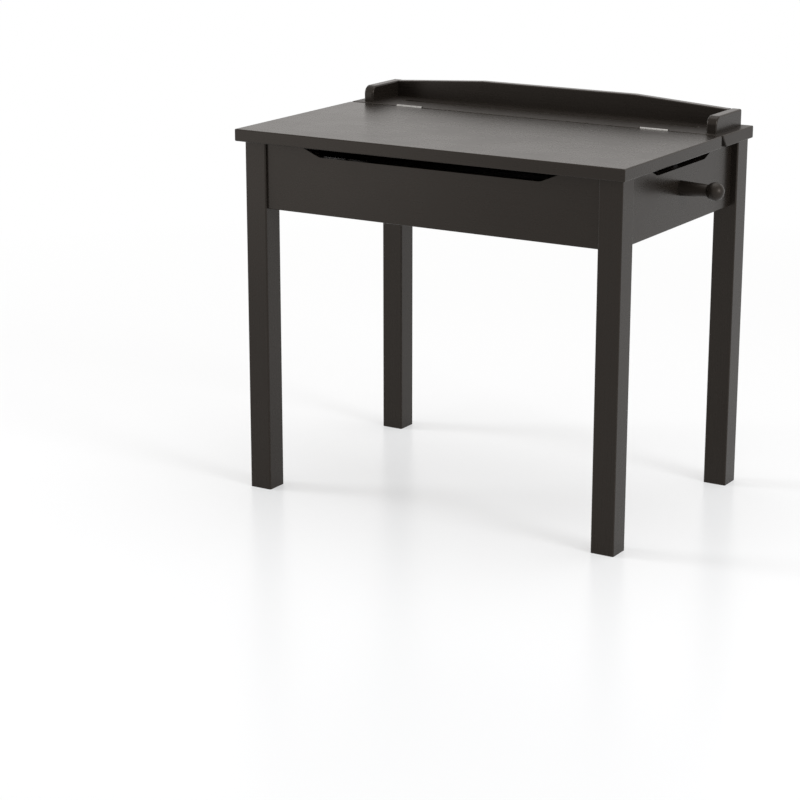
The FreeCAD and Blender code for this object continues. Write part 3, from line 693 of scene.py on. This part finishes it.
def fastener_group():
    """Puts one fastener on every point, aimed along the point's own axis and turned about it at random."""
    group, tree, given = new_group(
        "fastener_set", {"Geometry": "Geometry", "Fastener": "Object", "Seed": "Int", "Material": "Material"}
    )
    model = tree.node("GeometryNodeObjectInfo", {}, {"Object": given["Fastener"]}).output("Geometry")
    axis = tree.node("GeometryNodeInputNamedAttribute", {"data_type": "FLOAT_VECTOR"}, {"Name": "axis"})
    aim = tree.node("FunctionNodeAlignRotationToVector", {"axis": "Z"}, {"Vector": axis})
    spin = tree.node(
        "FunctionNodeRandomValue", {"data_type": "FLOAT"}, {2: 0.0, 3: 2 * math.pi, "Seed": given["Seed"]}
    )
    spin = Wire(tree, spin.made, 1)
    own = tree.node("FunctionNodeAxisAngleToRotation", {}, {"Axis": (0, 0, 1), "Angle": spin})
    turn = tree.node(
        "FunctionNodeRotateRotation", {"rotation_space": "LOCAL"}, {"Rotation": aim, "Rotate By": own}
    )
    placed = tree.node(
        "GeometryNodeInstanceOnPoints", {}, {"Points": given["Geometry"], "Instance": model, "Rotation": turn}
    )
    solid = tree.node("GeometryNodeRealizeInstances", {}, {"Geometry": placed})
    painted = tree.node("GeometryNodeSetMaterial", {}, {"Geometry": solid, "Material": given["Material"]})
    tree.node("NodeGroupOutput", {}, {"Geometry": painted})
    return group


def peg_group():
    """A turning on +X: a straight taper from the root to the neck, then a ball."""
    group, tree, given = new_group("turned_peg", {
        "Root": "Vector", "Length": "Float", "Root Radius": "Float", "Neck Radius": "Float",
        "Ball Radius": "Float", "Neck Run": "Float", "Neck Angle": "Float", "Stem Share": "Float",
        "Rings": "Int", "Sides": "Int", "Material": "Material",
    })
    line = tree.node("GeometryNodeCurvePrimitiveLine", {}, {"Start": (0, 0, 0), "End": (1, 0, 0)})
    line = tree.node("GeometryNodeResampleCurve", {}, {"Curve": line, "Count": given["Rings"]})
    step = tree.node("GeometryNodeSplineParameter").output("Index") / (given["Rings"] - 1.0)
    share = given["Stem Share"]
    on_stem = (step / share).clamped()
    on_ball = ((step - share) / (1.0 - share)).clamped()
    angle = given["Neck Angle"] + on_ball * (math.pi - given["Neck Angle"])
    is_ball = step > share
    ball_run = given["Length"] - given["Ball Radius"] * (1.0 + angle.cosine())
    ball_reach = given["Ball Radius"] * angle.sine()
    stem_run = given["Neck Run"] * on_stem
    stem_reach = given["Root Radius"] + on_stem * (given["Neck Radius"] - given["Root Radius"])
    run = is_ball * ball_run + (1.0 - is_ball) * stem_run
    reach = is_ball * ball_reach + (1.0 - is_ball) * stem_reach
    along = tree.node("ShaderNodeCombineXYZ", {}, {"X": run})
    spot = tree.node("ShaderNodeVectorMath", {"operation": "ADD"}, {0: given["Root"], 1: along})
    line = tree.node("GeometryNodeSetPosition", {}, {"Geometry": line, "Position": spot})
    ring = tree.node("GeometryNodeCurvePrimitiveCircle", {}, {"Resolution": given["Sides"], "Radius": 1.0})
    skin = tree.node(
        "GeometryNodeCurveToMesh", {},
        {"Curve": line, "Profile Curve": ring, "Scale": reach, "Fill Caps": True},
    )
    skin = tree.node("GeometryNodeMergeByDistance", {}, {"Geometry": skin, "Distance": MERGE_DISTANCE})
    solid = tree.node("GeometryNodeRealizeInstances", {}, {"Geometry": skin})
    painted = tree.node("GeometryNodeSetMaterial", {}, {"Geometry": solid, "Material": given["Material"]})
    tree.node("NodeGroupOutput", {}, {"Geometry": painted})
    return group


def fastener_set(group, model_mesh, name, node, places, seed, material):
    """Make one piece of all the fasteners in a node, from their points and axes."""
    points = bpy.data.meshes.new(name + "_points")
    points.from_pydata([point for point, axis in places], [], [])
    aims = points.attributes.new("axis", "FLOAT_VECTOR", "POINT")
    for entry, (point, axis) in zip(aims.data, places):
        entry.vector = axis
    model = new_piece(name + "_model", model_mesh)
    piece = new_piece(name, points)
    run_group(piece, group, {"Fastener": model, "Seed": seed, "Material": material})
    bpy.data.objects.remove(model)
    settle(piece, material, node)


# Fasteners
class Screw:
    """Sizes, places and axes of the screws in a node, read from its solids."""

    def __init__(self, node):
        self.places = []
        for vertices in islands(node):
            middle = sum(vertices, Vector()) / len(vertices)
            tip = max(vertices, key=lambda vertex: (vertex - middle).length)
            axis = (tip - middle).normalized()
            self.length = max((tip - vertex).dot(axis) for vertex in vertices)
            head = tip - axis * self.length
            self.places.append((head, axis))
            spread = [self.polar(vertex, head, axis) for vertex in vertices]
            self.head_radius = max(radius for run, radius in spread)
            on_shank = [pair for pair in spread if pair[0] < POINT_END * self.length]
            self.point_run, self.shank_radius = max(on_shank)

    @staticmethod
    def polar(vertex, head, axis):
        run = (vertex - head).dot(axis)
        return run, (vertex - head - axis * run).length

    def thread(self, pitch):
        """What a thread adds to the shank's radius: nought on its crest, and less than nought beside it."""
        start = self.head_radius - self.shank_radius

        def swell(run, angle):
            if run <= start * THREAD_START or run >= self.point_run:
                return 0.0
            turn = (run / pitch - angle / (2 * math.pi)) % 1.0
            return -THREAD_DEPTH * self.shank_radius * min(abs(2 * turn - 1) * THREAD_FLANK, 1.0)

        return swell

    def profile(self, pitch):
        """Run and radius from the middle of the head to the tip."""
        head, shank = self.head_radius, self.shank_radius
        depth = head - shank
        pairs = [(0.0, 0.0)]
        pairs += [(run * head, radius * head) for run, radius in SCREW_RIM]
        pairs += [(depth, shank)]
        steps = max(int((self.point_run - depth) / pitch * RINGS_PER_PITCH), RINGS_PER_PITCH)
        for number in range(1, steps + 1):
            pairs.append((depth + (self.point_run - depth) * number / steps, shank))
        return pairs + [(self.length * TIP_START, TIP_RADIUS * shank), (self.length, 0.0)]

    def model(self, name, pitch):
        """A threaded screw with a tapered cross recess."""
        body = new_piece(name, lathe(name, self.profile(pitch), SCREW_SIDES, self.thread(pitch)))
        plug = new_piece(name + "_recess", self.recess_plug(name + "_recess"))
        sink = body.modifiers.new("recess", "BOOLEAN")
        sink.operation = "DIFFERENCE"
        sink.solver = "EXACT"
        sink.object = plug
        plain_mesh(body)
        mesh = body.data
        bpy.data.objects.remove(body)
        bpy.data.objects.remove(plug)
        return mesh

    def recess_plug(self, name):
        """A cross that narrows as it goes in, starting a little above the head."""
        shell = bmesh.new()
        rows = []
        for run, reach, half in (RECESS_MOUTH, RECESS_FLOOR):
            outline = []
            for quarter in range(4):
                ahead = Euler((0, 0, quarter * math.pi / 2)).to_matrix()
                for x, y in ((reach, -half), (reach, half), (half, half)):
                    spot = ahead @ Vector((x, y, 0)) * self.head_radius
                    outline.append(shell.verts.new((spot.x, spot.y, run * self.head_radius)))
            rows.append(outline)
        shell.faces.new(rows[0])
        shell.faces.new(rows[1])
        count = len(rows[0])
        for number in range(count):
            after = (number + 1) % count
            shell.faces.new([rows[0][number], rows[0][after], rows[1][after], rows[1][number]])
        bmesh.ops.recalc_face_normals(shell, faces=shell.faces)
        mesh = bpy.data.meshes.new(name)
        shell.to_mesh(mesh)
        shell.free()
        return mesh


def drive_screws(hardware, nodes, material):
    """Make one piece of threaded screws for each node."""
    group = fastener_group()
    for node in nodes:
        screw = Screw(node)
        model = screw.model(node, hardware.thread_pitch)
        fastener_set(group, model, node + "_driven", node, screw.places, hardware.seed, material)


def rivet_profile(length, shank, head, dome, heads):
    """Rivet along Z with a domed head at its far end, and one at its near end where it has two."""
    angles = [math.pi / 2 * number / DOME_STEPS for number in range(DOME_STEPS)]
    arc = [(math.sin(angle), math.cos(angle)) for angle in angles]
    pairs = [(0.0, 0.0)]
    if heads == 2:
        pairs += [(dome * (1 - rise), head * reach) for rise, reach in reversed(arc)]
        pairs += [(dome, shank)]
    else:
        pairs += [(0.0, shank)]
    pairs += [(length - dome, shank)]
    pairs += [(length - dome * (1 - rise), head * reach) for rise, reach in arc]
    return pairs + [(length, 0.0)]


def dowel_profile(length, radius, chamfer):
    """Dowel along Z with chamfered ends."""
    half = length / 2
    ends = [(half - chamfer, radius), (half, radius - chamfer)]
    return [(-half, 0.0)] + [(-run, reach) for run, reach in reversed(ends)] + ends + [(half, 0.0)]


def looked_at(tree):
    """One where the camera, a gloss or a glass looks, and nought where a surface is lit."""
    path = tree.node("ShaderNodeLightPath")
    seen = path.output("Is Camera Ray").most(path.output("Is Glossy Ray"))
    return seen.most(path.output("Is Transmission Ray"))


# Operators
class DESK_OT_boards(bpy.types.Operator):
    """Paint the legs, aprons, top boards and gallery"""

    bl_idname = "desk.boards"
    bl_label = "Painted boards"

    def execute(self, context):
        paint = context.scene.desk_paint
        for node in (*LEGS, *APRONS, *TOPS, *GALLERY):
            low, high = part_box(node)
            piece = smooth_copy(node, node + "_painted")
            gloss_roughness = paint.strip_roughness if node == "rear_top_strip" else paint.roughness
            settle(piece, painted_wood(paint, node, low, high, gloss_roughness), node)
        return {"FINISHED"}


class DESK_OT_panel(bpy.types.Operator):
    """Paint the bottom panel of the compartment"""

    bl_idname = "desk.panel"
    bl_label = "Bottom panel"

    def execute(self, context):
        piece = smooth_copy("bottom_panel", "bottom_panel_painted")
        settle(piece, panel_board(context.scene.desk_paint), "bottom_panel")
        return {"FINISHED"}


class DESK_OT_peg(bpy.types.Operator):
    """Turn the peg on the right side"""

    bl_idname = "desk.peg"
    bl_label = "Turned peg"

    def execute(self, context):
        shape = context.scene.desk_peg
        low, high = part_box("side_peg")
        ball = (high.z - low.z) / 2
        length = high.x - low.x
        neck_drop = math.sqrt(ball ** 2 - shape.neck_radius ** 2)
        material = painted_wood(context.scene.desk_paint, "side_peg", low, high, shape.roughness)
        piece = new_piece("side_peg_turned", bpy.data.meshes.new("side_peg_turned"))
        run_group(piece, peg_group(), {
            "Root": (low.x, (low.y + high.y) / 2, (low.z + high.z) / 2),
            "Length": length,
            "Root Radius": shape.root_radius,
            "Neck Radius": shape.neck_radius,
            "Ball Radius": ball,
            "Neck Run": length - ball - neck_drop,
            "Neck Angle": math.atan2(shape.neck_radius, neck_drop),
            "Stem Share": shape.stem_share,
            "Rings": shape.rings,
            "Sides": shape.sides,
            "Material": material,
        })
        settle(piece, material, "side_peg")
        return {"FINISHED"}


class DESK_OT_hinges(bpy.types.Operator):
    """Plate the hinge leaves and their pins"""

    bl_idname = "desk.hinges"
    bl_label = "Hinges"

    def execute(self, context):
        colour = context.scene.desk_hardware.nickel_colour
        nickel = plated_steel("hinge_nickel", colour, NICKEL_ROUGHNESS, NICKEL_BRUSH)
        for node in HINGE_PARTS:
            settle(smooth_copy(node, node + "_plated"), nickel, node)
        return {"FINISHED"}


class DESK_OT_stays(bpy.types.Operator):
    """Coat the stays' arms and brackets, and set their domed rivets and black screws"""

    bl_idname = "desk.stays"
    bl_label = "Lid stays"

    def execute(self, context):
        hardware = context.scene.desk_hardware
        coat = coated_steel("stay_coat", hardware.coat_colour)
        for node in STAY_PARTS:
            settle(smooth_copy(node, node + "_coated"), coat, node)
        group = fastener_group()
        for stem, heads in RIVETS.items():
            for side in SIDES:
                self.set_rivet(group, hardware, stem + side, heads, coat)
        drive_screws(hardware, BLACK_SCREWS, coat)
        return {"FINISHED"}

    def set_rivet(self, group, hardware, node, heads, coat):
        (vertices,) = islands(node)
        low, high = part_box(node)
        centre = (low + high) / 2
        radii = [math.hypot(vertex.y - centre.y, vertex.z - centre.z) for vertex in vertices]
        length = high.x - low.x
        inward = -1 if centre.x > sum(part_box("lid")[end].x for end in range(2)) / 2 else 1
        start = Vector((centre.x - inward * length / 2, centre.y, centre.z))
        profile = rivet_profile(length, min(radii), max(radii), hardware.rivet_head, heads)
        places = [(start, Vector((inward, 0, 0)))]
        model = lathe(node, profile, RIVET_SIDES)
        fastener_set(group, model, node + "_domed", node, places, hardware.seed, coat)


class DESK_OT_screws(bpy.types.Operator):
    """Drive the countersunk screws of the hinges, gallery and peg"""

    bl_idname = "desk.screws"
    bl_label = "Screws"

    def execute(self, context):
        hardware = context.scene.desk_hardware
        zinc = plated_steel("screw_zinc", hardware.zinc_colour, SCREW_ROUGHNESS, SCREW_BRUSH)
        drive_screws(hardware, BRIGHT_SCREWS, zinc)
        return {"FINISHED"}


class DESK_OT_joinery(bpy.types.Operator):
    """Put in the cam locks, their bolts and the fluted dowels"""

    bl_idname = "desk.joinery"
    bl_label = "Hidden joinery"

    def execute(self, context):
        hardware = context.scene.desk_hardware
        zinc = plated_steel("cam_zinc", hardware.zinc_colour, CAM_ROUGHNESS, CAM_BRUSH)
        for node in ("cam_locks", "cam_bolts"):
            settle(smooth_copy(node, node + "_plated"), zinc, node)
        places = []
        for vertices in islands("dowels"):
            low = [min(vertex[axis] for vertex in vertices) for axis in range(3)]
            high = [max(vertex[axis] for vertex in vertices) for axis in range(3)]
            spans = [top - bottom for top, bottom in zip(high, low)]
            middle = [(top + bottom) / 2 for top, bottom in zip(high, low)]
            along = [1.0 if span == max(spans) else 0.0 for span in spans]
            places.append((Vector(middle), Vector(along)))
        length, radius = max(spans), min(spans) / 2
        flutes = hardware.flutes

        def flute(run, angle):
            return -FLUTE_DEPTH * radius * (1 + math.cos(flutes * angle))

        profile = dowel_profile(length, radius, DOWEL_CHAMFER * radius)
        model = lathe("dowel", profile, SIDES_PER_FLUTE * flutes, flute)
        wood = beech(hardware.beech_colour)
        fastener_set(fastener_group(), model, "dowels_fluted", "dowels", places, hardware.seed, wood)
        return {"FINISHED"}


class DESK_OT_stage(bpy.types.Operator):
    """Lay the floor, light the room and set up the camera"""

    bl_idname = "desk.stage"
    bl_label = "Studio"

    def execute(self, context):
        stage = context.scene.desk_stage
        self.lay_floor(stage)
        self.light_room(context.scene, stage)
        self.hang_lamps()
        self.set_camera(context.scene, stage)
        context.scene.view_settings.view_transform = "Standard"
        return {"FINISHED"}

    def lay_floor(self, stage):
        shell = bmesh.new()
        bmesh.ops.create_circle(shell, cap_ends=True, segments=FLOOR_SIDES, radius=stage.floor_radius)
        mesh = bpy.data.meshes.new("studio_floor")
        shell.to_mesh(mesh)
        shell.free()
        floor = new_piece("studio_floor", mesh)
        material, tree, shader, place = new_material("studio_floor")
        shader.inputs["Specular IOR Level"].default_value = FLOOR_GLOSS
        cloud = tree.noise(place, FLOOR_CLOUD_WAVES, detail=2.0)
        pale = [min(part * FLOOR_CLOUD_TONE, 1.0) for part in stage.floor_colour]
        tone = tree.mixed(cloud, opaque(stage.floor_colour), opaque(pale))
        roughness = FLOOR_ROUGHNESS + (cloud - 0.5) * FLOOR_CLOUD_GLOSS
        feed(tree, shader, Base_Color=tone, Roughness=roughness)
        self.whiten(tree, shader, place, stage)
        mesh.materials.append(material)

    def whiten(self, tree, shader, place, stage):
        """Mix the floor that is looked at with plain white: in part near the desk, and fully far away."""
        away = tree.node("ShaderNodeVectorMath", {"operation": "LENGTH"}, {0: place}).output("Value")
        far = ((away - stage.shade_start) / (stage.shade_end - stage.shade_start)).clamped()
        share = stage.floor_lift + far * (1.0 - stage.floor_lift)
        white = tree.node("ShaderNodeEmission", {}, {"Color": WHITE, "Strength": 1.0})
        both = tree.node("ShaderNodeMixShader", {}, {0: looked_at(tree) * share, 2: white})
        tree.data.links.new(shader.outputs[0], both.made.inputs[1])
        end = tree.data.nodes["Material Output"]
        tree.data.links.new(both.socket, end.inputs["Surface"])

    def light_room(self, scene, stage):
        """Plain white for the camera, and the room's colour and light for what it lights."""
        world = bpy.data.worlds.new("studio_room")
        world.use_nodes = True
        scene.world = world
        tree = Tree(world.node_tree)
        back = world.node_tree.nodes["Background"]
        viewed = tree.node("ShaderNodeLightPath").output("Is Camera Ray")
        tone = tree.mixed(viewed, opaque(stage.world_colour), WHITE)
        seen = looked_at(tree)
        strength = seen + (1.0 - seen) * stage.world_light
        tree.data.links.new(tone.socket, back.inputs["Color"])
        tree.data.links.new(strength.socket, back.inputs["Strength"])

    def hang_lamps(self):
        for lamp in LAMPS:
            light = bpy.data.lights.new(lamp.name, "AREA")
            light.shape = "DISK"
            light.size = lamp.width
            light.energy = lamp.power
            holder = bpy.data.objects.new(lamp.name, light)
            bpy.context.scene.collection.objects.link(holder)
            holder.location = lamp.place
            aim = Vector(lamp.target) - Vector(lamp.place)
            holder.rotation_euler = aim.to_track_quat("-Z", "Y").to_euler()

    def set_camera(self, scene, stage):
        data = bpy.data.cameras.new("photo_camera")
        data.sensor_width = SENSOR_WIDTH
        data.lens = stage.camera_lens
        camera = bpy.data.objects.new("photo_camera", data)
        scene.collection.objects.link(camera)
        camera.location = stage.camera_place
        camera.rotation_euler = (math.pi / 2 - stage.camera_pitch, 0.0, -stage.camera_yaw)
        scene.camera = camera


class DESK_PT_panel(bpy.types.Panel):
    """Everything that dresses the desk"""

    bl_idname = "DESK_PT_panel"
    bl_label = "Lift-top desk"
    bl_space_type = "VIEW_3D"
    bl_region_type = "UI"
    bl_category = "Desk"

    def draw(self, context):
        for group in SETTINGS:
            box = self.layout.box()
            settings = getattr(context.scene, group)
            for name in settings.__annotations__:
                box.prop(settings, name)
        for operator in OPERATORS:
            self.layout.operator(operator.bl_idname)


SETTINGS = {
    "desk_paint": PaintSettings,
    "desk_peg": PegSettings,
    "desk_hardware": HardwareSettings,
    "desk_stage": StageSettings,
}
OPERATORS = (
    DESK_OT_boards, DESK_OT_panel, DESK_OT_peg, DESK_OT_hinges,
    DESK_OT_stays, DESK_OT_screws, DESK_OT_joinery, DESK_OT_stage,
)


def register():
    for name, group in SETTINGS.items():
        bpy.utils.register_class(group)
        setattr(bpy.types.Scene, name, PointerProperty(type=group))
    for operator in OPERATORS:
        bpy.utils.register_class(operator)
    bpy.utils.register_class(DESK_PT_panel)


def unregister():
    bpy.utils.unregister_class(DESK_PT_panel)
    for operator in reversed(OPERATORS):
        bpy.utils.unregister_class(operator)
    for name, group in reversed(SETTINGS.items()):
        delattr(bpy.types.Scene, name)
        bpy.utils.unregister_class(group)


def main():
    register()
    bpy.ops.desk.boards()
    bpy.ops.desk.panel()
    bpy.ops.desk.peg()
    bpy.ops.desk.hinges()
    bpy.ops.desk.stays()
    bpy.ops.desk.screws()
    bpy.ops.desk.joinery()
    bpy.ops.desk.stage()


if __name__ == "__main__":
    main()
